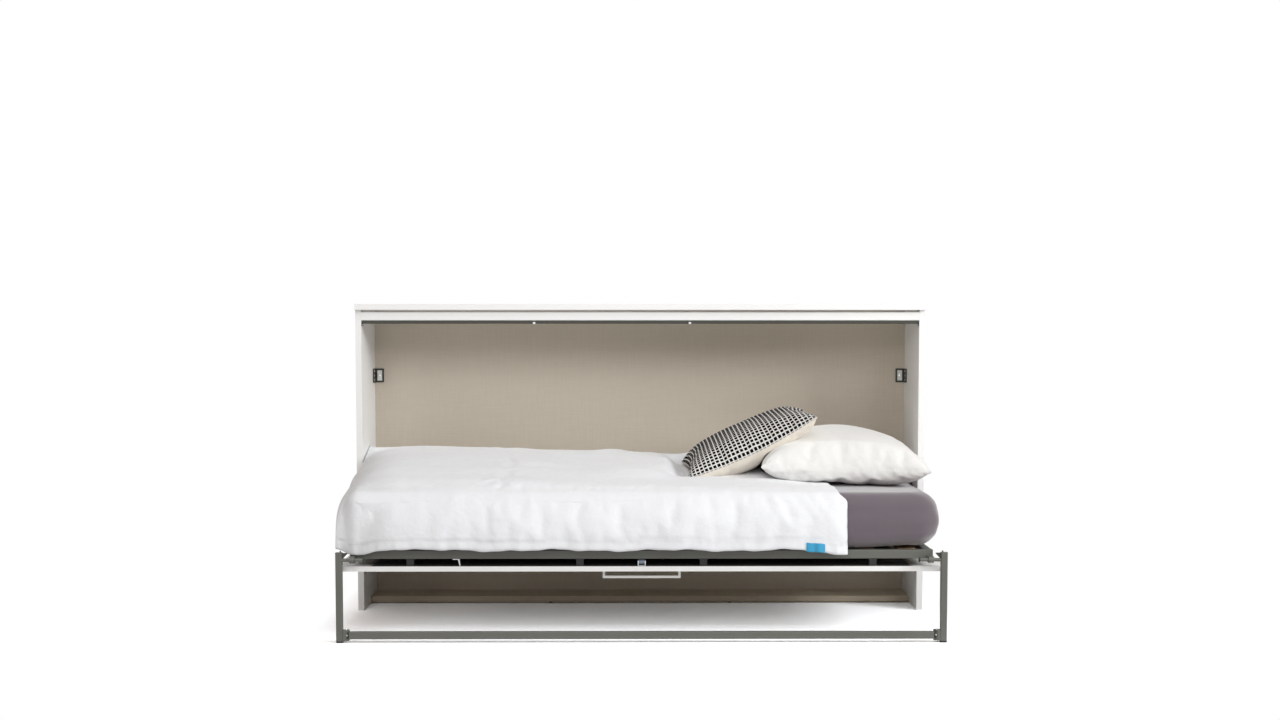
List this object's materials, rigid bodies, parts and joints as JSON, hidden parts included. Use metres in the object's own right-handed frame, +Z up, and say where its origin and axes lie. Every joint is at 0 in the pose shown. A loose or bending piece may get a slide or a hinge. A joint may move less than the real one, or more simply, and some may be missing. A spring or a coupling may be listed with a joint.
{
  "type": "wall bed",
  "caption": "Horizontal single wall bed: low white cabinet whose front folds down as a framed bed on a swing-down leg bail, with mattress and bedding.",
  "frame": {"origin": "middle of the footprint at floor level, with the bed down", "axes": "+X along the bed to the pillow end, +Y towards the wall, +Z up; the bed opens towards -Y"},
  "size_m": [2.11, 1.0614, 1.142],
  "materials": {
    "white_board": "satin white melamine on board",
    "linen_board": "beige linen-look laminate",
    "beige_board": "beige laminate on board",
    "dark_steel": "dark grey-brown powder coat",
    "grey_steel": "warm grey powder coat",
    "zinc_steel": "zinc plated",
    "black_plastic": "moulded, fine grain",
    "white_plastic": "moulded",
    "white_metal": "white lacquer",
    "rubber": "matt",
    "slat_wood": "clear-coated beech veneer",
    "roller_plastic": "blue-grey moulding",
    "mattress_cover": "mauve-grey fitted sheet",
    "white_cotton": "white cotton percale",
    "cream_cotton": "off-white cotton",
    "woven_cotton": "black and white weave on top, cream below",
    "black_metal": "black lacquer",
    "rod_chrome": "polished"
  },
  "bodies": {
    "cabinet": {"left_side": "white_board", "right_side": "white_board", "top_panel": "white_board", "back_panel": "linen_board", "fascia": "white_board", "stiffener": "dark_steel", "stiffener_ends": "dark_steel", "stiffener_clips": "zinc_steel", "bottom_board": "beige_board", "board_feet": "black_plastic", "wall_bracket_left": "dark_steel", "wall_bracket_right": "dark_steel", "wall_pads": "white_plastic", "cabinet_screws": "zinc_steel", "side_plate_left": "grey_steel", "side_plate_right": "grey_steel", "pivot_bushes": "black_plastic"},
    "bed": {"front_panel": "white_board", "panel_spacers": "black_plastic", "panel_angle": "zinc_steel", "handle": "white_metal", "leg_buffers": "rubber", "front_rail": "grey_steel", "rear_rail": "grey_steel", "end_rail_left": "grey_steel", "end_rail_right": "grey_steel", "cross_tubes": "grey_steel", "corner_fittings": "grey_steel", "slats": "slat_wood", "slat_holders": "black_plastic", "hinge_plate_left": "grey_steel", "hinge_plate_right": "grey_steel", "roller_bracket": "zinc_steel", "mattress": "mattress_cover", "duvet": "white_cotton", "pillow": "cream_cotton", "cushion": "woven_cotton"},
    "roller": {"centre_roller": "roller_plastic"},
    "leg_bail": {"post_left": "grey_steel", "post_right": "grey_steel", "crossbar": "grey_steel", "post_caps": "grey_steel", "post_gussets": "dark_steel", "bar_brackets": "grey_steel", "leg_bolts": "zinc_steel", "leg_axles": "grey_steel", "axle_caps": "black_plastic", "leg_glides": "black_plastic"},
    "strut_cylinder_left": {"strut_cylinder_left": "black_metal"},
    "strut_rod_left": {"strut_rod_left": "rod_chrome"},
    "strut_cylinder_right": {"strut_cylinder_right": "black_metal"},
    "strut_rod_right": {"strut_rod_right": "rod_chrome"}
  },
  "joints": [
    {"name": "bed_fold", "type": "hinge", "parent": "cabinet", "child": "bed", "pos_m": [0, 0.22465, 0.302], "axis": [-1, 0, 0], "range_deg": [0, 90], "deforming": ["duvet", "pillow", "cushion"]},
    {"name": "leg_fold", "type": "hinge", "parent": "bed", "child": "leg_bail", "pos_m": [0, -0.51235, 0.279], "axis": [-1, 0, 0], "range_deg": [0, 188]},
    {"name": "roller_spin", "type": "hinge", "parent": "bed", "child": "roller", "pos_m": [0, -0.46835, 0.267], "axis": [1, 0, 0], "continuous": true},
    {"name": "strut_swing_left", "type": "hinge", "parent": "cabinet", "child": "strut_cylinder_left", "pos_m": [-1.0162, 0.29965, 0.477], "axis": [-1, 0, 0], "range_deg": [0, 14.09]},
    {"name": "rod_slide_left", "type": "slide", "parent": "strut_cylinder_left", "child": "strut_rod_left", "axis": [0, -0.0571, -0.9984], "range_m": [0, 0.07617]},
    {"name": "strut_swing_right", "type": "hinge", "parent": "cabinet", "child": "strut_cylinder_right", "pos_m": [1.0162, 0.29965, 0.477], "axis": [-1, 0, 0], "range_deg": [0, 14.09]},
    {"name": "rod_slide_right", "type": "slide", "parent": "strut_cylinder_right", "child": "strut_rod_right", "axis": [0, -0.0571, -0.9984], "range_m": [0, 0.07617]}
  ],
  "couplings": [
    {"joint": "strut_swing_left", "follows": "bed_fold", "ratio": 0.15648},
    {"joint": "rod_slide_left", "follows": "bed_fold", "m_per_rad": 0.048485},
    {"joint": "strut_swing_right", "follows": "bed_fold", "ratio": 0.15648},
    {"joint": "rod_slide_right", "follows": "bed_fold", "m_per_rad": 0.048485}
  ]
}
